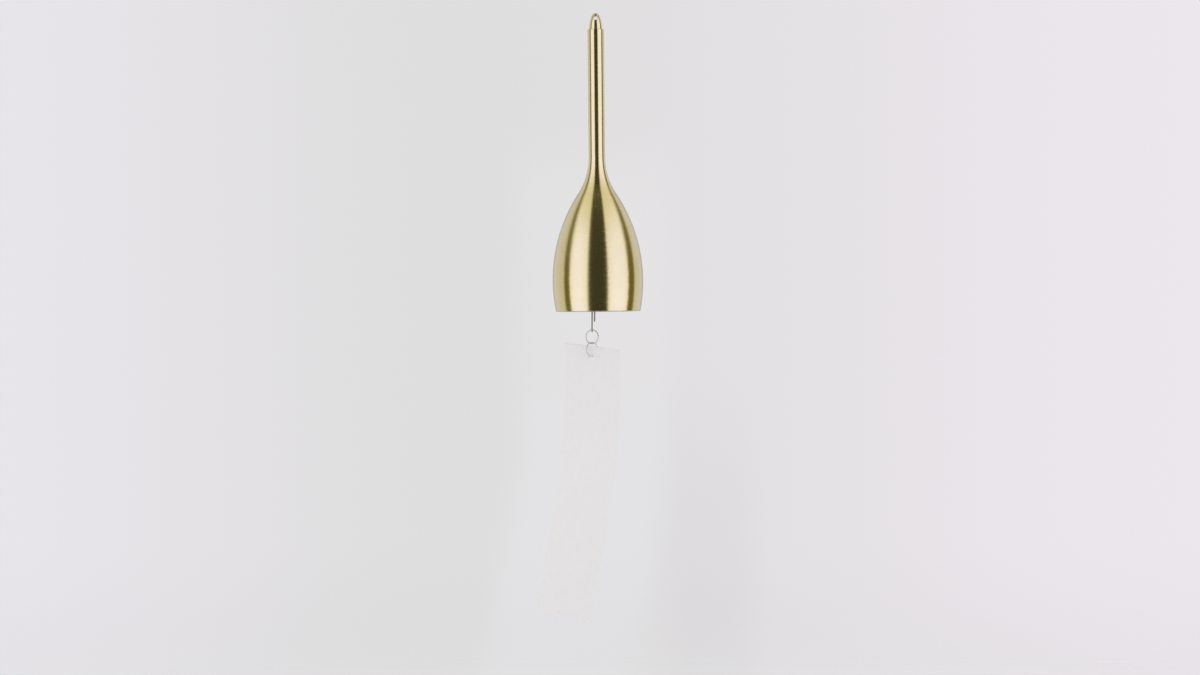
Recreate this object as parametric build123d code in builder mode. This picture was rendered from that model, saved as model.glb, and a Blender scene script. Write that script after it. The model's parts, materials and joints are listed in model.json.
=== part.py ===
import os
from math import asin, atan2, cos, degrees, pi, radians, sin, sqrt, tan

from build123d import *

# Furin wind bell, in millimetres.
# The origin is the middle of the hanging eye, +Z runs up the bell's axis,
# and the photograph looks along +Y.

# Bell, with heights taken up from the mouth
widest_radius = 25.0
widest_height = 17.0
cup_arc_radius = 87.0
flare_arc_radius = 37.0
neck_radius = 4.5
neck_top_height = 155.7
bell_wall = 1.5
rim_round = 0.35
neck_edge_round = 0.4

# Finial on top of the neck
nose_radius = 3.65
nose_height = 8.9
nose_tip_radius = 2.3
eye_radius = 1.2
eye_rise = 6.2
eye_edge_round = 0.2
spigot_length = 9.0
spigot_fit = 0.03
socket_radius = 2.0
socket_depth = 6.5

# Pin across the finial's socket
pin_radius = 0.75
pin_rise = 2.7
pin_fit = 0.02
pin_end_clearance = 0.1
pin_chamfer = 0.15

# Nylon line, doubled from the pin down to the ring
line_radius = 0.375
link_gap = 0.1
strand_overlap = 0.02
loop_length = 12.0
leg_bend_drop = 4.0
leg_bend_radius = 40.0
turn_arc_share = 0.85
joint_gap = 0.4

# Clapper on the doubled line, which leans to the left as photographed
line_lean = 2.1
clapper_height = 11.0
clapper_radius = 10.0
clapper_half_thickness = 3.0
clapper_rim_start = 7.2
clapper_bore_clearance = 0.3
clapper_collar_radius = 2.6
clapper_collar_rise = 1.6
clapper_cone_drop = 0.6

# Knot under the clapper, with its cut end hanging past the mouth
knot_radius = 1.9
knot_flat_radius = 1.35
knot_height = 2.6
tail_across = 1.23
tail_reach = 5.6

# Two strands below the knot, one behind the other as photographed
pull_across = -0.36
pull_spread = 0.42
turn_gap = 0.2

# Two linked jump rings
ring_outer_radius = 4.08
ring_wire_radius = 0.28
ring_drop = 10.3
ring_split_angle = 2.5
upper_ring_yaw = -27.0
lower_ring_yaw = 33.0

# Paper strip on the lower ring
strip_width = 36.0
strip_thickness = 0.35
strip_margin = 5.65
strip_hole_radius = 1.5
strip_hole_cut = 1.5
hang_gap = 0.3
strip_straight_length = 33.0
strip_bend_radius = 135.0
strip_curl_radius = 548.0
strip_yaw = -32.0
strip_roll = 6.3
strip_top_lean = -9.0
strip_bend_angle = 14.0
strip_curl_angle = 9.0

# Heights and arc centres of the bell
mouth_z = -(neck_top_height + eye_rise)
neck_top_z = -eye_rise
bore_radius = neck_radius - bell_wall
cup_x = widest_radius - cup_arc_radius
cup_z = mouth_z + widest_height
flare_x = neck_radius + flare_arc_radius
flare_z = cup_z + sqrt((cup_arc_radius + flare_arc_radius) ** 2 - (flare_x - cup_x) ** 2)
inner_cup_radius = cup_arc_radius - bell_wall
inner_flare_radius = flare_arc_radius + bell_wall
join_angle = degrees(atan2(flare_z - cup_z, flare_x - cup_x))
outer_mouth_angle = -degrees(asin(widest_height / cup_arc_radius))
inner_mouth_angle = -degrees(asin(widest_height / inner_cup_radius))

# The nose's long side arc meets its small tip arc smoothly
nose_tip_rise = nose_height - nose_tip_radius
nose_tip_z = neck_top_z + nose_tip_rise
nose_side_radius = (nose_radius**2 + nose_tip_rise**2 - nose_tip_radius**2) / (
    2 * (nose_radius - nose_tip_radius)
)
nose_side_x = nose_radius - nose_side_radius
nose_join_angle = degrees(atan2(nose_tip_rise, -nose_side_x))

# Heights of the finial and the pin
spigot_radius = bore_radius - spigot_fit
spigot_bottom_z = neck_top_z - spigot_length
socket_top_z = spigot_bottom_z + socket_depth
pin_z = spigot_bottom_z + pin_rise
pin_plane = Plane((0, 0, pin_z), x_dir=(1, 0, 0), z_dir=(0, -1, 0))
pin_half_length = sqrt(bore_radius**2 - pin_radius**2) - pin_end_clearance

# The line bends where the straight neck bore ends, and leans below that point
pivot_z = flare_z
lean = radians(line_lean)
line_up = Vector(sin(lean), 0, cos(lean))
line_across = Vector(cos(lean), 0, -sin(lean))
pendulum = Plane((0, 0, pivot_z), x_dir=line_across, z_dir=line_up)
strand_offset = line_radius - strand_overlap / 2
clapper_drop = (pivot_z - mouth_z - clapper_height) / cos(lean)
knot_top_drop = clapper_drop + clapper_half_thickness
knot_bottom_drop = knot_top_drop + knot_height

# Ring centres, straight below one another
ring_radius = ring_outer_radius - ring_wire_radius
ring_turn = 2 * ring_wire_radius + link_gap
ring_top = pendulum.from_local_coords(Vector(0, 0, -(pivot_z - mouth_z + ring_drop) / cos(lean)))
upper_ring_centre = ring_top - Vector(0, 0, ring_radius)
lower_ring_centre = upper_ring_centre - Vector(0, 0, 2 * ring_radius - ring_turn)
lower_ring_bottom = lower_ring_centre - Vector(0, 0, ring_radius)


def heading(yaw):
    """Level direction turned from +X by an angle in degrees."""
    return Vector(cos(radians(yaw)), sin(radians(yaw)), 0)


def facing(yaw):
    """Level direction square to heading, on the viewer's side."""
    return Vector(sin(radians(yaw)), -cos(radians(yaw)), 0)


def half_turn(centre, side, end, radius):
    """Corners of half an octagon round a pin or ring, from one side over its end to the other."""
    corner = radius * tan(pi / 8)
    return [
        centre - side * radius + end * corner,
        centre - side * corner + end * radius,
        centre + side * corner + end * radius,
        centre + side * radius + end * corner,
    ]


# Turned body: cup arc, flare arc and neck outside, and the same arcs one wall further in
with BuildPart() as bell:
    with BuildSketch(Plane.XZ):
        with BuildLine():
            outer_cup = CenterArc(
                (cup_x, cup_z), cup_arc_radius, outer_mouth_angle, join_angle - outer_mouth_angle
            )
            outer_flare = CenterArc((flare_x, flare_z), flare_arc_radius, 180 + join_angle, -join_angle)
            inner_flare = CenterArc((flare_x, flare_z), inner_flare_radius, 180, join_angle)
            inner_cup = CenterArc(
                (cup_x, cup_z), inner_cup_radius, join_angle, inner_mouth_angle - join_angle
            )
            Polyline(
                outer_flare @ 1,
                (neck_radius, neck_top_z),
                (bore_radius, neck_top_z),
                inner_flare @ 0,
            )
            Line(inner_cup @ 1, outer_cup @ 0)
        make_face()
    revolve(axis=Axis.Z)
    fillet(bell.edges().group_by(Axis.Z)[0], rim_round)
    neck_edge = bell.edges().group_by(Axis.Z)[-1].sort_by(SortBy.RADIUS)[-1]
    fillet(neck_edge, neck_edge_round)

# Bullet nose with its eye, and a hollow spigot that fits the neck bore
with BuildPart() as finial:
    with BuildSketch(Plane.XZ):
        with BuildLine():
            nose = CenterArc((nose_side_x, neck_top_z), nose_side_radius, 0, nose_join_angle)
            tip = CenterArc((0, nose_tip_z), nose_tip_radius, nose_join_angle, 90 - nose_join_angle)
            Polyline(
                nose @ 0,
                (spigot_radius, neck_top_z),
                (spigot_radius, spigot_bottom_z),
                (socket_radius, spigot_bottom_z),
                (socket_radius, socket_top_z),
                (0, socket_top_z),
                tip @ 1,
            )
        make_face()
    revolve(axis=Axis.Z)
    with BuildSketch(Plane.XZ):
        Circle(eye_radius)
    extrude(amount=nose_radius, both=True, mode=Mode.SUBTRACT)
    eye_wall = finial.faces().filter_by(GeomType.CYLINDER).sort_by(Axis.Z)[-1]
    fillet(eye_wall.edges().filter_by(GeomType.LINE, reverse=True), eye_edge_round)
    with BuildSketch(pin_plane):
        Circle(pin_radius + pin_fit)
    extrude(amount=bore_radius, both=True, mode=Mode.SUBTRACT)

# Pin that the line is looped over
with BuildPart() as line_pin:
    with BuildSketch(pin_plane):
        Circle(pin_radius)
    extrude(amount=pin_half_length, both=True)
    chamfer(line_pin.edges().filter_by(GeomType.CIRCLE), pin_chamfer)

# Top bight of the line, over the pin and drawn together below it
bight_radius = pin_radius + line_radius + link_gap
leg_offset = line_radius + link_gap
loop_bottom_z = pin_z - loop_length
leg_bend_z = pin_z - leg_bend_drop
bight_arc_radius = turn_arc_share * bight_radius
bight = half_turn(Vector(0, 0, pin_z), Vector(1, 0, 0), Vector(0, 0, 1), bight_radius)
anchor_radii = [leg_bend_radius, *[bight_arc_radius] * len(bight), leg_bend_radius]
with BuildPart() as anchor_loop:
    with BuildLine() as anchor_route:
        FilletPolyline(
            (-leg_offset, 0, loop_bottom_z),
            (-bight_radius, 0, leg_bend_z),
            *bight,
            (bight_radius, 0, leg_bend_z),
            (leg_offset, 0, loop_bottom_z),
            radius=anchor_radii,
        )
    with BuildSketch(Plane(anchor_route.line @ 0, z_dir=anchor_route.line % 0)):
        Circle(line_radius)
    sweep(path=anchor_route.line)

# Doubled line down the neck
with BuildPart() as neck_line:
    with BuildSketch(Plane.XY.offset(loop_bottom_z - joint_gap)):
        with Locations((-strand_offset, 0), (strand_offset, 0)):
            Circle(line_radius)
    extrude(amount=-(loop_bottom_z - pivot_z - 2 * joint_gap))

# Doubled line from the neck's lower end to the knot
with BuildPart() as clapper_line:
    with BuildSketch(pendulum.offset(-joint_gap)):
        with Locations((-strand_offset, 0), (strand_offset, 0)):
            Circle(line_radius)
    extrude(amount=-(knot_top_drop - joint_gap))

# Clapper: round-edged disc with a collar, turned about the leaning line
clapper_centre = pendulum.from_local_coords(Vector(0, 0, -clapper_drop))
clapper_bore_radius = 2 * line_radius + clapper_bore_clearance
with BuildPart() as clapper:
    with BuildSketch(Plane(clapper_centre, x_dir=line_across, z_dir=(0, -1, 0))):
        with BuildLine():
            rim = ThreePointArc(
                (clapper_rim_start, clapper_half_thickness),
                (clapper_radius, 0),
                (clapper_rim_start, -clapper_half_thickness),
            )
            Polyline(
                rim @ 1,
                (clapper_bore_radius, -clapper_half_thickness),
                (clapper_bore_radius, clapper_half_thickness + clapper_collar_rise),
                (clapper_collar_radius, clapper_half_thickness + clapper_collar_rise),
                (clapper_collar_radius, clapper_half_thickness + clapper_cone_drop),
                rim @ 0,
            )
        make_face()
    revolve(axis=Axis(clapper_centre, line_up))

# Knot that carries the clapper, and its cut end beside the strands
knot_top = pendulum.from_local_coords(Vector(0, 0, -knot_top_drop))
tail_top_drop = knot_top_drop + knot_height / 2
tail_bottom_drop = (pivot_z - mouth_z) / cos(lean) + tail_reach
with BuildPart() as clapper_knot:
    with BuildSketch(Plane(knot_top, x_dir=line_across, z_dir=(0, -1, 0))):
        with BuildLine():
            side = ThreePointArc(
                (knot_flat_radius, 0),
                (knot_radius, -knot_height / 2),
                (knot_flat_radius, -knot_height),
            )
            Polyline(side @ 1, (0, -knot_height), (0, 0), side @ 0)
        make_face()
    revolve(axis=Axis(knot_top, line_up))
    with BuildSketch(pendulum.offset(-tail_top_drop)):
        with Locations((tail_across, 0)):
            Circle(line_radius)
    extrude(amount=-(tail_bottom_drop - tail_top_drop))

# Two strands from the knot that turn round the upper ring's wire
turn_radius = ring_wire_radius + line_radius + turn_gap
turn_corners = half_turn(ring_top, Vector(0, -1, 0), Vector(0, 0, -1), turn_radius)
strand_top = knot_bottom_drop + joint_gap
back_start = pendulum.from_local_coords(Vector(pull_across, pull_spread, -strand_top))
front_start = pendulum.from_local_coords(Vector(pull_across, -pull_spread, -strand_top))
pull_radii = [turn_arc_share * turn_radius] * len(turn_corners)
with BuildPart() as pull_line:
    with BuildLine() as pull_route:
        FilletPolyline(back_start, *turn_corners, front_start, radius=pull_radii)
    with BuildSketch(Plane(pull_route.line @ 0, z_dir=pull_route.line % 0)):
        Circle(line_radius)
    sweep(path=pull_route.line)

# Jump rings of round wire, each with its fine split at the side
with BuildPart() as upper_ring:
    with BuildSketch(Plane(upper_ring_centre, x_dir=heading(upper_ring_yaw), z_dir=(0, 0, 1))):
        with Locations((ring_radius, 0)):
            Circle(ring_wire_radius)
    revolve(
        axis=Axis(upper_ring_centre, facing(upper_ring_yaw)),
        revolution_arc=360 - ring_split_angle,
    )

with BuildPart() as lower_ring:
    with BuildSketch(Plane(lower_ring_centre, x_dir=heading(lower_ring_yaw), z_dir=(0, 0, 1))):
        with Locations((-ring_radius, 0)):
            Circle(ring_wire_radius)
    revolve(
        axis=Axis(lower_ring_centre, facing(lower_ring_yaw)),
        revolution_arc=360 - ring_split_angle,
    )

# Paper strip: its side profile hangs from the ring's wire, leans back and curls forward below
strip_normal = facing(strip_yaw)
strip_across = heading(strip_yaw) * cos(radians(strip_roll)) - Vector(0, 0, sin(radians(strip_roll)))
strip_side = Plane(lower_ring_bottom, x_dir=strip_normal, z_dir=strip_across * -1)
top_lean = radians(strip_top_lean)
hang_rise = ring_wire_radius + hang_gap
hole_drop = strip_hole_radius - hang_rise
strip_down = Vector(sin(top_lean), -cos(top_lean))
with BuildPart() as paper_strip:
    with BuildSketch(strip_side):
        with BuildLine() as strip_profile:
            upper = Line(strip_down * -strip_margin, strip_down * (strip_straight_length - strip_margin))
            bend = JernArc(upper @ 1, upper % 1, strip_bend_radius, strip_bend_angle)
            JernArc(bend @ 1, bend % 1, strip_curl_radius, strip_curl_angle)
        trace(strip_profile.line, line_width=strip_thickness)
    extrude(amount=strip_width / 2, both=True)
    hole_centre = strip_side.from_local_coords(strip_down * hole_drop)
    hole_axis = strip_side.from_local_coords(Vector(cos(top_lean), sin(top_lean))) - lower_ring_bottom
    with BuildSketch(Plane(hole_centre, z_dir=hole_axis)):
        Circle(strip_hole_radius)
    extrude(amount=strip_hole_cut, both=True, mode=Mode.SUBTRACT)

pieces = {
    "bell": bell,
    "finial": finial,
    "line_pin": line_pin,
    "anchor_loop": anchor_loop,
    "neck_line": neck_line,
    "clapper_line": clapper_line,
    "clapper": clapper,
    "clapper_knot": clapper_knot,
    "pull_line": pull_line,
    "upper_ring": upper_ring,
    "lower_ring": lower_ring,
    "paper_strip": paper_strip,
}
os.makedirs("parts", exist_ok=True)
for name, piece in pieces.items():
    piece.part.label = name
    export_step(piece.part, f"parts/{name}.step")
    box = piece.part.bounding_box()
    print(name, round(piece.part.volume, 2), box.min, box.max)

# Length and bend radii of each tube of line, and its volume against section times length
line_section = pi * line_radius**2
for name, route, radii, tube in (
    ("anchor_loop", anchor_route, anchor_radii, anchor_loop),
    ("pull_line", pull_route, pull_radii, pull_line),
):
    length = route.wire().length
    volume_ratio = tube.part.volume / (line_section * length)
    bends = [round(radius, 3) for radius in radii]
    print(name, "length", round(length, 2), "radii", bends, "volume ratio", round(volume_ratio, 4))
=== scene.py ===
import json
from math import cos, pi, radians, sin, tan

import bpy
import numpy as np
from mathutils import Matrix, Vector


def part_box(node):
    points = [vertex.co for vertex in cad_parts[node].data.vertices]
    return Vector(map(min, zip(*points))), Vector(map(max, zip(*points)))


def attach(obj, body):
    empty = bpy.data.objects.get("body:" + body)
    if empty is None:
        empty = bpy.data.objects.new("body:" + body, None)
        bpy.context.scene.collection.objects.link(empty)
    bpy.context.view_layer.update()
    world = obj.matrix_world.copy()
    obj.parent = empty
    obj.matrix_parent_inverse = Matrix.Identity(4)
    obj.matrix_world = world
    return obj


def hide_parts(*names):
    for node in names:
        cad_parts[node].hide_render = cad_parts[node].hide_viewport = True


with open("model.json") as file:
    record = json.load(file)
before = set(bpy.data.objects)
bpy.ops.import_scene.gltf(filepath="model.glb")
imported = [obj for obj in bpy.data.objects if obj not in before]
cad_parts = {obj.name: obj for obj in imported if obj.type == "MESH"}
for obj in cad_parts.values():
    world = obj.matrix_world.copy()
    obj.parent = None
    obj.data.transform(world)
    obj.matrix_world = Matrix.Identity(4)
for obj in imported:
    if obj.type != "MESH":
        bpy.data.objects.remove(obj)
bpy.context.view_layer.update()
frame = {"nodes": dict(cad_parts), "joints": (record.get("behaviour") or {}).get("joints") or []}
nodes = frame["nodes"]
joints = {joint["name"]: joint for joint in frame["joints"]}
scene = bpy.context.scene

MM = 0.001
X_AXIS = Vector((1, 0, 0))
FORWARD = Vector((0, -1, 0))
DOWN = Vector((0, 0, -1))

# Camera: level, on the photograph's centre, with its small roll
PHOTO_WIDTH = 1200
PHOTO_HEIGHT = 675
METRES_PER_PIXEL = 0.5525 * MM
EYE_PIXEL = (595.6, 18.3)
CAMERA_DISTANCE = 1.5
CAMERA_ROLL = radians(0.51)
SENSOR_WIDTH = 36.0

image_right = Vector((cos(CAMERA_ROLL), 0, -sin(CAMERA_ROLL)))
image_up = Vector((sin(CAMERA_ROLL), 0, cos(CAMERA_ROLL)))
image_back = image_right.cross(image_up)
pixels_right = PHOTO_WIDTH / 2 - EYE_PIXEL[0]
pixels_down = PHOTO_HEIGHT / 2 - EYE_PIXEL[1]
camera_target = (image_right * pixels_right - image_up * pixels_down) * METRES_PER_PIXEL
camera_place = camera_target + image_back * CAMERA_DISTANCE
camera_turn = Matrix((image_right, image_up, image_back)).transposed().to_4x4()
camera_data = bpy.data.cameras.new("camera")
camera_data.sensor_width = SENSOR_WIDTH
camera_data.lens = SENSOR_WIDTH * CAMERA_DISTANCE / (PHOTO_WIDTH * METRES_PER_PIXEL)
camera = bpy.data.objects.new("camera", camera_data)
scene.collection.objects.link(camera)
camera.matrix_world = Matrix.Translation(camera_place) @ camera_turn
scene.camera = camera

# Places and directions that the line, rings and paper turn about
pivot = Vector(joints["clapper_swing"]["pos_m"])
strand_hinge = Vector(joints["pull_swing"]["pos_m"])
ring_top = Vector(joints["upper_ring_swing"]["pos_m"])
strip_hang = Vector(joints["strip_swing"]["pos_m"])
line_down = (strand_hinge - pivot).normalized()
line_across = Vector(joints["pull_swing"]["axis"])
line_forward = line_across.cross(line_down)
strip_across = Vector(joints["strip_swing"]["axis"])
mouth_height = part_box("bell")[0].z

# Nylon line
LINE_RADIUS = 0.375 * MM
STRAND_OFFSET = 0.365 * MM
LINK_GAP = 0.1 * MM
TUBE_STEPS = 8
TUBE_ROUNDNESS = 4
SPLINE_ORDER = 3


def half_turn(centre, side, end, radius):
    """Corners of half an octagon round a pin or ring, from one side over its end to the other."""
    corner = radius * tan(pi / 8)
    return [
        centre - side * radius + end * corner,
        centre - side * corner + end * radius,
        centre + side * corner + end * radius,
        centre + side * radius + end * corner,
    ]


def strand(name, points):
    """Length of line along one open spline whose control points are the given ones."""
    curve = bpy.data.curves.new(name, "CURVE")
    curve.dimensions = "3D"
    curve.resolution_u = TUBE_STEPS
    curve.bevel_depth = 1.0
    curve.bevel_resolution = TUBE_ROUNDNESS
    curve.use_fill_caps = True
    spline = curve.splines.new("NURBS")
    spline.points.add(len(points) - 1)
    for control, point in zip(spline.points, points):
        control.co = (*point, 1.0)
        control.radius = LINE_RADIUS
    spline.order_u = SPLINE_ORDER
    spline.use_endpoint_u = True
    piece = bpy.data.objects.new(name, curve)
    scene.collection.objects.link(piece)
    return piece


# Strands from the knot, round the upper ring's wire and back, one behind the other
KNOT_TUCK = 0.9 * MM
PULL_ACROSS = -0.36 * MM
PULL_SPREAD = 0.42 * MM
RING_WIRE_RADIUS = 0.28 * MM
TURN_GAP = 0.2 * MM
RING_APPROACH = 4.5 * MM


def beside_line(across, back, drop):
    """Point beside the leaning line, at a length below its bend."""
    return pivot + line_across * across - FORWARD * back + line_down * drop


knot_drop = (strand_hinge - pivot).length - KNOT_TUCK
mouth_drop = (mouth_height - pivot.z) / line_down.z
back_end = beside_line(PULL_ACROSS, PULL_SPREAD, knot_drop)
front_end = beside_line(PULL_ACROSS, -PULL_SPREAD, knot_drop)
turn = half_turn(ring_top, FORWARD, DOWN, RING_WIRE_RADIUS + LINE_RADIUS + TURN_GAP)
pull_line = strand(
    "pull_line_cord",
    [
        back_end,
        turn[0] + (back_end - turn[0]).normalized() * RING_APPROACH,
        *turn,
        turn[-1] + (front_end - turn[-1]).normalized() * RING_APPROACH,
        front_end,
    ],
)
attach(pull_line, "pull_line")
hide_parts("pull_line")

# Bight over the pin in the finial
PIN_RADIUS = 0.75 * MM
PIN_HEIGHT = -12.5 * MM
LOOP_LENGTH = 12.0 * MM
LEG_BEND_DROP = 4.0 * MM
LEG_OFFSET = LINE_RADIUS + LINK_GAP

pin_centre = Vector((0, 0, PIN_HEIGHT))
bight_radius = PIN_RADIUS + LINE_RADIUS + LINK_GAP
loop_bottom = PIN_HEIGHT - LOOP_LENGTH
leg_bend = PIN_HEIGHT - LEG_BEND_DROP
anchor_loop = strand(
    "anchor_loop_cord",
    [
        Vector((-LEG_OFFSET, 0, loop_bottom)),
        Vector((-bight_radius, 0, leg_bend)),
        *half_turn(pin_centre, X_AXIS, -DOWN, bight_radius),
        Vector((bight_radius, 0, leg_bend)),
        Vector((LEG_OFFSET, 0, loop_bottom)),
    ],
)
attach(anchor_loop, "bell")
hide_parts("anchor_loop")

# Doubled line in the neck and above the clapper, straight under the clapper's weight
KNOT_HEIGHT = 2.6 * MM
KNOT_RADIUS = 1.9 * MM
KNOT_RISE = 0.4 * MM

neck_line_top = Vector((0, 0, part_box("neck_line")[1].z))
knot_bottom = strand_hinge - line_down * KNOT_RISE
knot_top = knot_bottom - line_down * KNOT_HEIGHT
straight_runs = (
    ("neck_line", "neck_line", neck_line_top, pivot, X_AXIS),
    ("clapper_line", "clapper", pivot, knot_bottom, line_across),
)
cords = []
for node, body, run_top, run_bottom, across in straight_runs:
    for side, sign in (("left", -1), ("right", 1)):
        offset = across * sign * STRAND_OFFSET
        piece = strand(f"{node}_{side}", [run_top + offset, run_bottom + offset])
        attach(piece, body)
        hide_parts(node)
        cords.append((piece, run_top + offset, (run_bottom - run_top).length))

# Knot under the clapper: turns of the line round the two strands, and the line's cut end
KNOT_TURNS = 3
KNOT_POINTS_PER_TURN = 12
TAIL_ACROSS = 1.23 * MM
TAIL_REACH = 5.6 * MM

wrap_radius = KNOT_RADIUS - LINE_RADIUS
wrap_depth = KNOT_HEIGHT - 2 * LINE_RADIUS
wrap_count = KNOT_TURNS * KNOT_POINTS_PER_TURN
knot_points = [knot_top + line_down * LINE_RADIUS + line_across * 2 * LINE_RADIUS]
for step in range(wrap_count + 1):
    angle = 2 * pi * step / KNOT_POINTS_PER_TURN
    depth = LINE_RADIUS + wrap_depth * step / wrap_count
    spoke = line_across * cos(angle) + line_forward * sin(angle)
    knot_points.append(knot_top + line_down * depth + spoke * wrap_radius)
knot_points.append(beside_line(TAIL_ACROSS, 0, (knot_bottom - pivot).length))
knot_points.append(beside_line(TAIL_ACROSS, 0, mouth_drop + TAIL_REACH))
knot = strand("clapper_knot_wraps", knot_points)
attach(knot, "clapper")
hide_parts("clapper_knot")

# Paper strip: a fine grid along the hanging curve, with a round hole near its top edge
STRIP_WIDTH = 36.0 * MM
STRIP_MARGIN = 5.65 * MM
STRIP_STRAIGHT = 33.0 * MM
STRIP_BEND_RADIUS = 135.0 * MM
STRIP_CURL_RADIUS = 548.0 * MM
STRIP_TOP_LEAN = radians(-9.0)
STRIP_BEND = radians(14.0)
STRIP_CURL = radians(9.0)
STRIP_HOLE_RADIUS = 1.5 * MM
STRIP_HOLE_DEPTH = 6.57 * MM
PAPER_THICKNESS = 0.3 * MM
PAPER_CROSS_CURL = 0.35 * MM
PAPER_CELL = 1.0 * MM
PROFILE_STEP = 0.25 * MM
HOLE_PATCH_HALF = 4.0 * MM
HOLE_LAYERS = 4
KEY_STEPS_PER_METRE = 1e7
SHARP_ANGLE = radians(40)

strip_bend_length = STRIP_BEND_RADIUS * STRIP_BEND
strip_curl_length = STRIP_CURL_RADIUS * STRIP_CURL
strip_length = STRIP_STRAIGHT + strip_bend_length + strip_curl_length
strip_normal = Vector((strip_across.y, -strip_across.x, 0)).normalized()
strip_up = strip_normal.cross(strip_across)


def strip_slope(along):
    """Angle of the paper's run from straight down, at a length from its top edge."""
    bend = min(max(along - STRIP_STRAIGHT, 0), strip_bend_length)
    curl = max(along - STRIP_STRAIGHT - strip_bend_length, 0)
    return STRIP_TOP_LEAN + bend / STRIP_BEND_RADIUS + curl / STRIP_CURL_RADIUS


profile_along = np.arange(0, strip_length + PROFILE_STEP, PROFILE_STEP)
middle_slopes = np.array([strip_slope(along + PROFILE_STEP / 2) for along in profile_along])


def run_lengths(shares):
    """Length covered up to each place of the profile, counted from the hanging point."""
    covered = np.concatenate(([0], np.cumsum(shares * PROFILE_STEP)))[:-1]
    return covered - np.interp(STRIP_MARGIN, profile_along, covered)


profile_out = run_lengths(np.sin(middle_slopes))
profile_drop = run_lengths(np.cos(middle_slopes))


def strip_place(across, along, lift):
    """Point on the hanging paper from its flat place and the height above its middle surface."""
    slope = strip_slope(along)
    share = across / (STRIP_WIDTH / 2)
    settle = min(max((along - STRIP_STRAIGHT / 2) / STRIP_STRAIGHT, 0), 1)
    lift += PAPER_CROSS_CURL * settle * share * share
    out = float(np.interp(along, profile_along, profile_out) + lift * cos(slope))
    drop = float(np.interp(along, profile_along, profile_drop) - lift * sin(slope))
    return strip_hang + strip_across * across + strip_normal * out - strip_up * drop


def spaced(start, end):
    """Even values from start to end, about a cell apart."""
    return np.linspace(start, end, max(int(round((end - start) / PAPER_CELL)), 1) + 1)


flat_points = []
flat_index = {}


def flat_vertex(across, along):
    """Index of a flat point, made once."""
    key = (round(across * KEY_STEPS_PER_METRE), round(along * KEY_STEPS_PER_METRE))
    if key not in flat_index:
        flat_index[key] = len(flat_points)
        flat_points.append((across, along))
    return flat_index[key]


# Square cells of the sheet, without the square patch round the hole
patch_top = STRIP_HOLE_DEPTH - HOLE_PATCH_HALF
patch_bottom = STRIP_HOLE_DEPTH + HOLE_PATCH_HALF
columns = spaced(-STRIP_WIDTH / 2, STRIP_WIDTH / 2)
rows = np.concatenate(
    (
        spaced(0, patch_top)[:-1],
        spaced(patch_top, patch_bottom)[:-1],
        spaced(patch_bottom, strip_length),
    )
)
edge_margin = PAPER_CELL / 10
quads = []
for left, right in zip(columns[:-1], columns[1:]):
    for top, bottom in zip(rows[:-1], rows[1:]):
        in_patch = (
            left > -HOLE_PATCH_HALF - edge_margin
            and right < HOLE_PATCH_HALF + edge_margin
            and top > patch_top - edge_margin
            and bottom < patch_bottom + edge_margin
        )
        if not in_patch:
            corners = ((left, top), (left, bottom), (right, bottom), (right, top))
            quads.append([flat_vertex(*corner) for corner in corners])

# Patch: rings of cells that pass from its square outside to the round hole
patch_side = spaced(-HOLE_PATCH_HALF, HOLE_PATCH_HALF)[:-1]
patch_edge = (
    [(-HOLE_PATCH_HALF, step) for step in patch_side]
    + [(step, HOLE_PATCH_HALF) for step in patch_side]
    + [(HOLE_PATCH_HALF, -step) for step in patch_side]
    + [(-step, -HOLE_PATCH_HALF) for step in patch_side]
)
patch_rings = []
for layer in range(HOLE_LAYERS + 1):
    share = layer / HOLE_LAYERS
    ring = []
    for across, along in patch_edge:
        reach = (across * across + along * along) ** 0.5
        scale = (1 - share) + share * STRIP_HOLE_RADIUS / reach
        ring.append(flat_vertex(across * scale, STRIP_HOLE_DEPTH + along * scale))
    patch_rings.append(ring)
for outer, inner in zip(patch_rings[:-1], patch_rings[1:]):
    for here in range(len(outer)):
        after = (here + 1) % len(outer)
        quads.append([outer[here], outer[after], inner[after], inner[here]])

# Front and back surface, closed along the free edges
front = [strip_place(across, along, PAPER_THICKNESS / 2) for across, along in flat_points]
back = [strip_place(across, along, -PAPER_THICKNESS / 2) for across, along in flat_points]
count = len(flat_points)
edges = {(start, end): None for quad in quads for start, end in zip(quad, quad[1:] + quad[:1])}
rims = [edge for edge in edges if (edge[1], edge[0]) not in edges]
faces = list(quads)
faces += [[corner + count for corner in reversed(quad)] for quad in quads]
faces += [[start + count, end + count, end, start] for start, end in rims]
strip_mesh = bpy.data.meshes.new("paper_strip_sheet")
strip_mesh.from_pydata(front + back, [], faces)
strip_mesh.polygons.foreach_set("use_smooth", [True] * len(faces))
strip_mesh.set_sharp_from_angle(angle=SHARP_ANGLE)
strip_mesh.update()
paper_strip = bpy.data.objects.new("paper_strip_sheet", strip_mesh)
scene.collection.objects.link(paper_strip)
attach(paper_strip, "paper_strip")
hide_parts("paper_strip")


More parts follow.
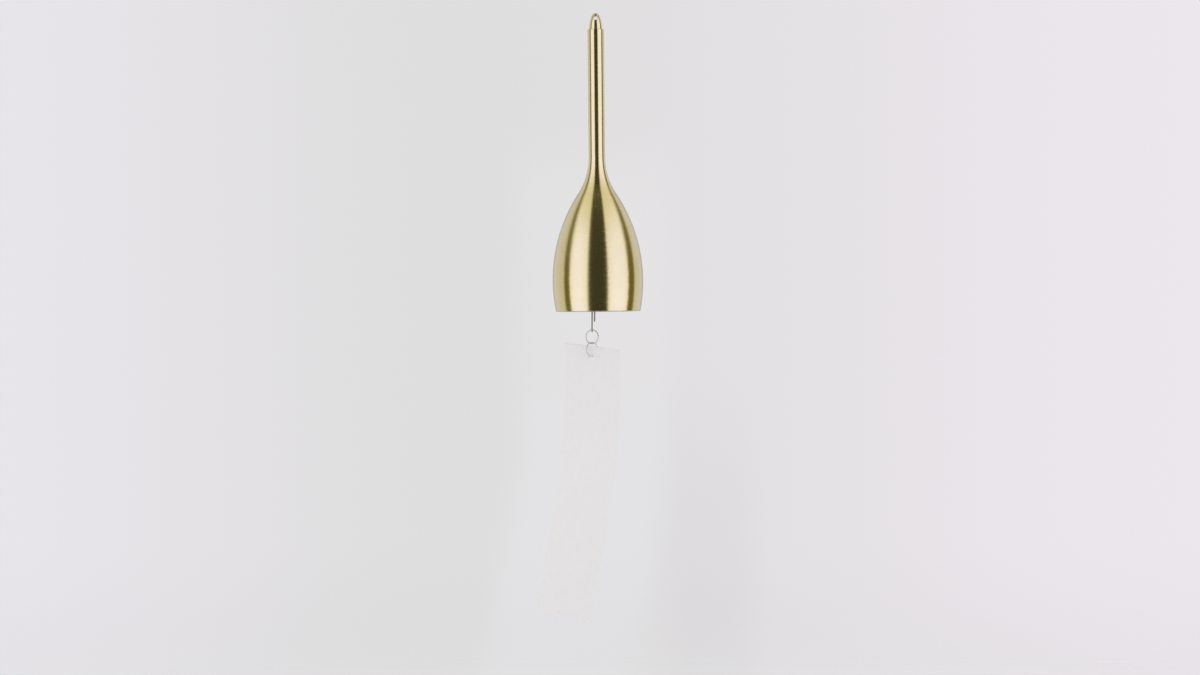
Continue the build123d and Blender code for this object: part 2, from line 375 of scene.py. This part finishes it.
class Graph:
    """Small helper that adds and links the nodes of one node tree."""

    def __init__(self, tree):
        self.tree = tree
        tree.nodes.clear()

    def node(self, kind, settings=None, **inputs):
        made = self.tree.nodes.new(kind)
        for name, value in (settings or {}).items():
            setattr(made, name, value)
        for name, value in inputs.items():
            self.feed(made.inputs[name.replace("_", " ")], value)
        return made

    def feed(self, socket, value):
        if isinstance(value, bpy.types.NodeSocket):
            self.tree.links.new(value, socket)
        else:
            socket.default_value = value

    def math(self, operation, *values):
        made = self.node("ShaderNodeMath", {"operation": operation})
        for socket, value in zip(made.inputs, values):
            self.feed(socket, value)
        return made.outputs[0]

    def product(self, first, *others):
        for other in others:
            first = self.math("MULTIPLY", first, other)
        return first

    def span(self, value, low, high, to_low=0.0, to_high=1.0, kind="SMOOTHSTEP"):
        made = self.node(
            "ShaderNodeMapRange",
            {"interpolation_type": kind},
            Value=value,
            From_Min=low,
            From_Max=high,
            To_Min=to_low,
            To_Max=to_high,
        )
        return made.outputs["Result"]

    def mix(self, share, first, second):
        made = self.node("ShaderNodeMix", {"data_type": "RGBA"})
        for place, value in ((0, share), (6, first), (7, second)):
            self.feed(made.inputs[place], value)
        return made.outputs[2]

    def noise(self, vector, scale=1.0, detail=2.0, roughness=0.5):
        made = self.node(
            "ShaderNodeTexNoise", Vector=vector, Scale=scale, Detail=detail, Roughness=roughness
        )
        return made.outputs["Fac"]

    def stretched(self, vector, scale):
        return self.node("ShaderNodeMapping", Vector=vector, Scale=scale).outputs["Vector"]

    def bump(self, height, strength, distance):
        made = self.node("ShaderNodeBump", Height=height, Strength=strength, Distance=distance)
        return made.outputs["Normal"]

    def shade(self, choice, first, second):
        made = self.node("ShaderNodeMixShader", Fac=choice)
        self.feed(made.inputs[1], first.outputs[0])
        self.feed(made.inputs[2], second.outputs[0])
        return made


def material(name):
    """New node material with a shader and its output, and the object's own coordinates."""
    made = bpy.data.materials.new(name)
    made.use_nodes = True
    graph = Graph(made.node_tree)
    shader = graph.node("ShaderNodeBsdfPrincipled")
    graph.node("ShaderNodeOutputMaterial", Surface=shader.outputs["BSDF"])
    place = graph.node("ShaderNodeTexCoord").outputs["Object"]
    return made, graph, shader.inputs, place


def dress(piece, made):
    """Give a piece this one material."""
    piece.data.materials.clear()
    piece.data.materials.append(made)


# Spread that most of a noise falls in
NOISE_LOW = 0.3
NOISE_HIGH = 0.7
LINES_LOW = 0.25
LINES_HIGH = 0.75
BUMP_DEPTH = 0.02 * MM

# Turned brass: brush lines round the axis, soft tarnish, a darker inside and a worn lip
BRASS_LIGHT = (0.89, 0.79, 0.48, 1)
BRASS_DARK = (0.81, 0.71, 0.41, 1)
FINIAL_DARK = (0.79, 0.69, 0.39, 1)
CLAPPER_LIGHT = (0.74, 0.62, 0.34, 1)
CLAPPER_DARK = (0.58, 0.46, 0.22, 1)
INSIDE_COLOUR = (0.42, 0.33, 0.15, 1)
LIP_COLOUR = (0.86, 0.78, 0.55, 1)
BRASS_ROUGHNESS = 0.25
CLAPPER_ROUGHNESS = 0.38
ROUGHNESS_SPREAD = 0.05
INSIDE_ROUGHER = 0.18
FINE_LINES = (60, 60, 9000)
COARSE_LINES = (25, 25, 1600)
FINE_SHARE = 0.6
TARNISH_SCALE = 55.0
TARNISH_SHARE = 0.5
INSIDE_FROM = -0.2 * MM
INSIDE_TO = -1.2 * MM
LIP_FROM = 0.7 * MM
LIP_TO = 0.25 * MM
LIP_SHARE = 0.5
BRUSHED = 0.92
BRUSHED_TURN = 0.25
BRUSHED_BUMP = 0.06


def brass(name, light, dark, roughness, hollow):
    """Turned brass, brushed round its axis."""
    made, graph, shader, place = material(name)
    fine = graph.noise(graph.stretched(place, FINE_LINES), detail=3.0, roughness=0.6)
    coarse = graph.noise(graph.stretched(place, COARSE_LINES))
    tarnish = graph.noise(place, TARNISH_SCALE, detail=4.0, roughness=0.6)
    coarse_part = graph.product(coarse, 1 - FINE_SHARE)
    lines = graph.math("MULTIPLY_ADD", fine, FINE_SHARE, coarse_part)
    lines_part = graph.product(lines, 1 - TARNISH_SHARE)
    shade = graph.math("MULTIPLY_ADD", tarnish, TARNISH_SHARE, lines_part)
    colour = graph.mix(graph.span(shade, NOISE_LOW, NOISE_HIGH, kind="LINEAR"), dark, light)
    smooth, matt = roughness - ROUGHNESS_SPREAD, roughness + ROUGHNESS_SPREAD
    rough = graph.span(lines, LINES_LOW, LINES_HIGH, smooth, matt, "LINEAR")
    if hollow:
        parts = graph.node("ShaderNodeSeparateXYZ", Vector=place).outputs
        radial = graph.node("ShaderNodeCombineXYZ", X=parts["X"], Y=parts["Y"]).outputs[0]
        normal = graph.node("ShaderNodeTexCoord").outputs["Normal"]
        facing = graph.node("ShaderNodeVectorMath", {"operation": "DOT_PRODUCT"})
        graph.feed(facing.inputs[0], radial)
        graph.feed(facing.inputs[1], normal)
        inside = graph.span(facing.outputs["Value"], INSIDE_FROM, INSIDE_TO)
        lip = graph.span(parts["Z"], mouth_height + LIP_FROM, mouth_height + LIP_TO)
        colour = graph.mix(inside, colour, INSIDE_COLOUR)
        colour = graph.mix(graph.product(lip, LIP_SHARE), colour, LIP_COLOUR)
        rough = graph.math("MULTIPLY_ADD", inside, INSIDE_ROUGHER, rough)
    graph.feed(shader["Base Color"], colour)
    graph.feed(shader["Roughness"], rough)
    shader["Metallic"].default_value = 1.0
    shader["Anisotropic"].default_value = BRUSHED
    shader["Anisotropic Rotation"].default_value = BRUSHED_TURN
    tangent = graph.node("ShaderNodeTangent", {"direction_type": "RADIAL", "axis": "Z"})
    graph.feed(shader["Tangent"], tangent.outputs[0])
    graph.feed(shader["Normal"], graph.bump(lines, BRUSHED_BUMP, BUMP_DEPTH))
    return made


# Plated wire of the rings and the pin, with fine drawing marks
WIRE_DARK = (0.79, 0.785, 0.735, 1)
WIRE_LIGHT = (0.835, 0.83, 0.78, 1)
WIRE_ROUGHNESS = (0.48, 0.62)
WIRE_MARKS_SCALE = 2600.0
WIRE_PATCHES_SCALE = 420.0
WIRE_BUMP = 0.15


def plated_wire():
    """Pale plated wire with fine drawing marks."""
    made, graph, shader, place = material("plated_wire")
    marks = graph.noise(place, WIRE_MARKS_SCALE, detail=3.0, roughness=0.6)
    patches = graph.noise(place, WIRE_PATCHES_SCALE)
    rough = graph.span(marks, NOISE_LOW, NOISE_HIGH, *WIRE_ROUGHNESS, "LINEAR")
    graph.feed(shader["Base Color"], graph.mix(patches, WIRE_DARK, WIRE_LIGHT))
    graph.feed(shader["Roughness"], rough)
    shader["Metallic"].default_value = 1.0
    graph.feed(shader["Normal"], graph.bump(marks, WIRE_BUMP, BUMP_DEPTH))
    return made


# Nylon line, with streaks along it
NYLON_DARK = (0.27, 0.30, 0.15, 1)
NYLON_LIGHT = (0.40, 0.43, 0.26, 1)
NYLON_ROUGHNESS = (0.18, 0.34)
NYLON_STREAKS = (2400, 2400, 300)
NYLON_CLEAR = 0.35
NYLON_IOR = 1.53
NYLON_BUMP = 0.1


def nylon():
    """Grey-green nylon line, a little see-through."""
    made, graph, shader, place = material("nylon_line")
    streaks = graph.noise(graph.stretched(place, NYLON_STREAKS))
    rough = graph.span(streaks, NOISE_LOW, NOISE_HIGH, *NYLON_ROUGHNESS, "LINEAR")
    graph.feed(shader["Base Color"], graph.mix(streaks, NYLON_DARK, NYLON_LIGHT))
    graph.feed(shader["Roughness"], rough)
    shader["Transmission Weight"].default_value = NYLON_CLEAR
    shader["IOR"].default_value = NYLON_IOR
    graph.feed(shader["Normal"], graph.bump(streaks, NYLON_BUMP, BUMP_DEPTH))
    return made


# Uncoated paper, with clouds and fibres, and painted shade that darkens it a little toward its
# lower end
PAPER_DARK = (0.83, 0.815, 0.822, 1)
PAPER_LIGHT = (0.862, 0.847, 0.854, 1)
# Painted shade: darker colours of the paper toward its lower end, and the heights over which they
# take over
PAPER_SHADE_DARK = (0.792, 0.778, 0.785, 1)
PAPER_SHADE_LIGHT = (0.824, 0.809, 0.816, 1)
PAPER_SHADE_FROM = -0.2
PAPER_SHADE_TO = -0.325
PAPER_ROUGHNESS = (0.7, 0.85)
PAPER_CLOUD_SCALE = 260.0
PAPER_FIBRES = (1400, 1400, 600)
PAPER_CLOUD_SHARE = 0.5
PAPER_SPECULAR = 0.2
PAPER_BUMP = 0.2
PAPER_BUMP_DEPTH = 0.05 * MM


def paper():
    """Uncoated white paper with fine fibres."""
    made, graph, shader, place = material("white_paper")
    cloud = graph.noise(place, PAPER_CLOUD_SCALE, detail=4.0, roughness=0.6)
    fibre = graph.noise(graph.stretched(place, PAPER_FIBRES), detail=5.0, roughness=0.7)
    fibre_part = graph.product(fibre, 1 - PAPER_CLOUD_SHARE)
    grain = graph.math("MULTIPLY_ADD", cloud, PAPER_CLOUD_SHARE, fibre_part)
    share = graph.span(grain, NOISE_LOW, NOISE_HIGH, kind="LINEAR")
    rough = graph.span(fibre, NOISE_LOW, NOISE_HIGH, *PAPER_ROUGHNESS, "LINEAR")
    parts = graph.node("ShaderNodeSeparateXYZ", Vector=place).outputs
    # Painted shade: the darker colours take over toward the paper's lower end
    lower = graph.span(parts["Z"], PAPER_SHADE_FROM, PAPER_SHADE_TO, kind="LINEAR")
    unshaded_paper = graph.mix(share, PAPER_DARK, PAPER_LIGHT)
    shaded_paper = graph.mix(share, PAPER_SHADE_DARK, PAPER_SHADE_LIGHT)
    graph.feed(shader["Base Color"], graph.mix(lower, unshaded_paper, shaded_paper))
    graph.feed(shader["Roughness"], rough)
    shader["Specular IOR Level"].default_value = PAPER_SPECULAR
    graph.feed(shader["Normal"], graph.bump(grain, PAPER_BUMP, PAPER_BUMP_DEPTH))
    return made


for node, light, dark, roughness in (
    ("bell", BRASS_LIGHT, BRASS_DARK, BRASS_ROUGHNESS),
    ("finial", BRASS_LIGHT, FINIAL_DARK, BRASS_ROUGHNESS),
    ("clapper", CLAPPER_LIGHT, CLAPPER_DARK, CLAPPER_ROUGHNESS),
):
    dress(nodes[node], brass(f"{node}_brass", light, dark, roughness, node == "bell"))
wire = plated_wire()
for node in ("upper_ring", "lower_ring", "line_pin"):
    dress(nodes[node], wire)
line_material = nylon()
for piece in [pull_line, anchor_loop, knot] + [cord[0] for cord in cords]:
    dress(piece, line_material)
dress(paper_strip, paper())

# Pale floor well below the paper, fading out far from the object
FLOOR_HEIGHT = -1.75
FLOOR_RADIUS = 16.0
FLOOR_SIDES = 96
FLOOR_DARK = (0.843, 0.84, 0.848, 1)
FLOOR_LIGHT = (0.863, 0.86, 0.868, 1)
FLOOR_CLOUD_SCALE = 3.0
FLOOR_ROUGHNESS = 0.9
FLOOR_SPECULAR = 0.1
FLOOR_FADE_FROM = 0.35 * FLOOR_RADIUS
FLOOR_FADE_TO = 0.95 * FLOOR_RADIUS

floor_angles = [2 * pi * step / FLOOR_SIDES for step in range(FLOOR_SIDES)]
floor_mesh = bpy.data.meshes.new("floor")
floor_mesh.from_pydata(
    [
        (FLOOR_RADIUS * cos(angle), FLOOR_RADIUS * sin(angle), FLOOR_HEIGHT)
        for angle in floor_angles
    ],
    [],
    [list(range(FLOOR_SIDES))],
)
floor = bpy.data.objects.new("floor", floor_mesh)
scene.collection.objects.link(floor)
floor.visible_glossy = False
floor_material, graph, shader, place = material("pale_floor")
cloud = graph.noise(place, FLOOR_CLOUD_SCALE, detail=3.0)
graph.feed(shader["Base Color"], graph.mix(cloud, FLOOR_DARK, FLOOR_LIGHT))
shader["Roughness"].default_value = FLOOR_ROUGHNESS
shader["Specular IOR Level"].default_value = FLOOR_SPECULAR
away = graph.node("ShaderNodeVectorMath", {"operation": "LENGTH"})
graph.feed(away.inputs[0], place)
fade = graph.span(away.outputs["Value"], FLOOR_FADE_FROM, FLOOR_FADE_TO, 1.0, 0.0)
graph.feed(shader["Alpha"], fade)
dress(floor, floor_material)

# Soft key and fill lamps that the metal doesn't mirror: the side they shine from,
# their strength and their width in degrees
LAMPS = (
    ("key_lamp", (-0.9, -1.6, 0.45), 0.32, 70),
    ("fill_lamp", (1.4, -1.2, 0.5), 0.35, 80),
)
for name, lamp_side, strength, width in LAMPS:
    lamp_data = bpy.data.lights.new(name, "SUN")
    lamp_data.energy = strength
    lamp_data.angle = radians(width)
    lamp = bpy.data.objects.new(name, lamp_data)
    lamp.rotation_euler = (-Vector(lamp_side)).to_track_quat("-Z", "Y").to_euler()
    lamp.visible_glossy = False
    scene.collection.objects.link(lamp)

# Studio round the object, as the metal mirrors it. Turning away from the camera, in degrees,
# there are the dark room behind the camera with its warm edge, a soft panel, a dark gap, the
# pale backdrop, its cooler far part and its dim rear. X, Y and Z values are parts of the unit
# direction.
FRONT_DARK = (0.043, 0.040, 0.018, 1)
FRONT_EDGE = (0.11, 0.088, 0.004, 1)
FRONT_EDGE_WIDTH = 7.0
PANEL_COLOUR = (1.08, 1.08, 1.44, 1)
PANEL_MARGIN = (1.05, 1.02, 1.08, 1)
PANEL_MARGIN_WIDTH = 22.0
PANEL_FROM_LOW = 27.0
PANEL_FROM_HIGH = 24.2
PANEL_LOW_Z = -0.4
PANEL_HIGH_Z = 0.6
PANEL_TO_LEFT = 77.0
PANEL_TO_RIGHT = 84.0
PANEL_EDGE = 3.0
OVERHEAD_COLOUR = (0.79, 0.74, 0.55, 1)
OVERHEAD_FROM = 0.5
OVERHEAD_TO = 0.76
GAP_COLOUR = (0.142, 0.117, 0.006, 1)
GAP_TO_LEFT = 96.0
GAP_TO_RIGHT = 106.5
GAP_SOFT_INNER = 11.0
GAP_SOFT_OUTER = 14.0
GAP_SOFT_FROM = 0.1
GAP_SOFT_TO = 0.45
SIDE_BLEND = 0.2
BACKDROP_COLOUR = (0.66, 0.63, 0.57, 1)
FAR_COLOUR = (0.675, 0.685, 0.765, 1)
FAR_FROM = 110.0
FAR_TO = 138.0
REAR_COLOUR = (0.42, 0.41, 0.37, 1)
REAR_FROM = 138.0
REAR_TO = 176.0
BEHIND_FROM = 0.3
BEHIND_TO = 0.6
ZENITH_COLOUR = (0.26, 0.25, 0.17, 1)
ZENITH_FROM = 0.93
ZENITH_TO = 0.99
TOP_STRIP_COLOUR = (0.10, 0.10, 0.06, 1)
TOP_STRIP_HALF = 0.3
TOP_STRIP_LOW = 0.2
TOP_STRIP_EDGE = 0.15


def turn_from_camera(graph, parts, aside):
    """Degrees that a direction turns away from the camera's side.

    In front it is twice the angle of the mirroring wall, so that a band keeps its share of the
    width where the wall flares. Behind it is the plain azimuth.
    """
    toward = graph.product(parts["Y"], -1.0)
    azimuth = graph.math("ARCTAN2", aside, toward)
    halfway = graph.math("ARCTAN2", aside, graph.math("ADD", toward, 1.0))
    behind = graph.span(parts["Y"], BEHIND_FROM, BEHIND_TO)
    front_turn = graph.product(halfway, 2 * 180 / pi)
    change = graph.math("SUBTRACT", graph.product(azimuth, 180 / pi), front_turn)
    return graph.math("MULTIPLY_ADD", change, behind, front_turn)


def mirrored_studio(graph, parts):
    """Colour of the studio in a direction, as the metal mirrors it."""
    aside = graph.math("ABSOLUTE", parts["X"])
    turned = turn_from_camera(graph, parts, aside)
    panel_from = graph.span(
        parts["Z"], PANEL_LOW_Z, PANEL_HIGH_Z, PANEL_FROM_LOW, PANEL_FROM_HIGH, "LINEAR"
    )
    panel_to = graph.span(parts["X"], -SIDE_BLEND, SIDE_BLEND, PANEL_TO_LEFT, PANEL_TO_RIGHT)
    gap_to = graph.span(parts["X"], -SIDE_BLEND, SIDE_BLEND, GAP_TO_LEFT, GAP_TO_RIGHT)
    past_front = graph.math("SUBTRACT", turned, panel_from)
    before_gap = graph.math("SUBTRACT", panel_to, turned)

    def softer_above(edge, most):
        soft = graph.span(parts["Z"], GAP_SOFT_FROM, GAP_SOFT_TO, PANEL_EDGE, most)
        return graph.span(graph.math("SUBTRACT", turned, edge), graph.product(soft, -1.0), soft)

    core_start = graph.span(past_front, 0.0, PANEL_MARGIN_WIDTH)
    core_end = graph.span(before_gap, 0.0, PANEL_MARGIN_WIDTH)
    panel = graph.mix(graph.product(core_start, core_end), PANEL_MARGIN, PANEL_COLOUR)
    overhead = graph.span(parts["Z"], OVERHEAD_FROM, OVERHEAD_TO)
    panel = graph.mix(overhead, panel, OVERHEAD_COLOUR)

    front_edge = graph.span(past_front, -FRONT_EDGE_WIDTH, -PANEL_EDGE)
    panel_start = graph.span(past_front, -PANEL_EDGE, PANEL_EDGE)
    strip_side = graph.span(aside, TOP_STRIP_HALF + TOP_STRIP_EDGE, TOP_STRIP_HALF)
    strip_low = graph.span(parts["Z"], TOP_STRIP_LOW, TOP_STRIP_LOW + TOP_STRIP_EDGE)
    strip_rear = graph.span(parts["Y"], TOP_STRIP_EDGE, 2 * TOP_STRIP_EDGE)
    colour = FRONT_DARK
    for share, next_colour in (
        (front_edge, FRONT_EDGE),
        (panel_start, panel),
        (softer_above(panel_to, GAP_SOFT_INNER), GAP_COLOUR),
        (softer_above(gap_to, GAP_SOFT_OUTER), BACKDROP_COLOUR),
        (graph.span(turned, FAR_FROM, FAR_TO), FAR_COLOUR),
        (graph.span(turned, REAR_FROM, REAR_TO), REAR_COLOUR),
        (graph.span(parts["Z"], ZENITH_FROM, ZENITH_TO), ZENITH_COLOUR),
        (graph.product(strip_side, strip_low, strip_rear), TOP_STRIP_COLOUR),
    ):
        colour = graph.mix(share, colour, next_colour)
    return colour


# Pale background as the camera sees it: its colour from left to right, darker low down,
# with a faint glow behind the object that leans and cools below, and a shade low on its right
VIEW_LEFT = (0.81, 0.79, 0.828, 1)
VIEW_CENTRE = (0.742, 0.732, 0.738, 1)
VIEW_RIGHT = (0.842, 0.80, 0.852, 1)
VIEW_SPREAD = 0.25
VIEW_MIDDLE = -0.05
VIEW_COOL = (0.742, 0.739, 0.755, 1)
VIEW_LOW = 0.965
VIEW_LOW_FROM = -0.07
VIEW_LOW_TO = -0.125
GLOW_LEFT = -0.020
GLOW_RIGHT = 0.016
GLOW_EDGE = 0.018
GLOW_TOP = 0.065
GLOW_SHARE = 0.036
GLOW_LEAN = 0.2
GLOW_LEAN_FROM = -0.045
COOL_FROM = -0.015
COOL_TO = -0.032
SHADE_LEFT = 0.034
SHADE_RIGHT = 0.046
SHADE_EDGE = 0.02
SHADE_FROM = -0.005
SHADE_TO = -0.075
SHADE_SHARE = -0.042


def seen_background(graph, parts):
    """Colour and strength of the background in a direction, as the camera sees it."""
    left_half = graph.span(parts["X"], -VIEW_SPREAD, VIEW_MIDDLE)
    right_half = graph.span(parts["X"], VIEW_MIDDLE, VIEW_SPREAD)
    colour = graph.mix(left_half, VIEW_LEFT, VIEW_CENTRE)
    colour = graph.mix(right_half, colour, VIEW_RIGHT)
    low = graph.span(parts["Z"], VIEW_LOW_FROM, VIEW_LOW_TO, 1.0, VIEW_LOW)
    leaning = graph.math("MINIMUM", graph.math("SUBTRACT", parts["Z"], GLOW_LEAN_FROM), 0.0)
    across = graph.math("MULTIPLY_ADD", leaning, -GLOW_LEAN, parts["X"])
    glow = graph.product(
        graph.span(across, GLOW_LEFT - GLOW_EDGE, GLOW_LEFT),
        graph.span(across, GLOW_RIGHT + GLOW_EDGE, GLOW_RIGHT),
        graph.span(parts["Z"], GLOW_TOP + GLOW_EDGE, GLOW_TOP - GLOW_EDGE),
    )
    shade = graph.product(
        graph.span(parts["X"], SHADE_LEFT - SHADE_EDGE, SHADE_LEFT),
        graph.span(parts["X"], SHADE_RIGHT + SHADE_EDGE, SHADE_RIGHT),
        graph.span(parts["Z"], SHADE_FROM, SHADE_TO),
    )
    cool = graph.product(glow, graph.span(parts["Z"], COOL_FROM, COOL_TO))
    colour = graph.mix(cool, colour, VIEW_COOL)
    glowing = graph.math("MULTIPLY_ADD", glow, GLOW_SHARE, 1.0)
    strength = graph.product(low, glowing, graph.math("MULTIPLY_ADD", shade, SHADE_SHARE, 1.0))
    return colour, strength


SOFT_LIGHT = 0.85
WHITE = (1, 1, 1, 1)

world = bpy.data.worlds.new("studio")
scene.world = world
world.use_nodes = True
graph = Graph(world.node_tree)
direction = graph.node("ShaderNodeTexCoord").outputs["Generated"]
parts = graph.node("ShaderNodeSeparateXYZ", Vector=direction).outputs
view_colour, view_strength = seen_background(graph, parts)
seen = graph.node("ShaderNodeBackground", Color=view_colour, Strength=view_strength)
mirrored = graph.node("ShaderNodeBackground", Color=mirrored_studio(graph, parts), Strength=1.0)
soft = graph.node("ShaderNodeBackground", Color=WHITE, Strength=SOFT_LIGHT)
rays = graph.node("ShaderNodeLightPath").outputs
direct = graph.math("MAXIMUM", rays["Is Camera Ray"], rays["Is Transmission Ray"])
light = graph.shade(direct, graph.shade(rays["Is Glossy Ray"], soft, mirrored), seen)
graph.node("ShaderNodeOutputWorld", Surface=light.outputs[0])

scene.view_settings.view_transform = "Standard"
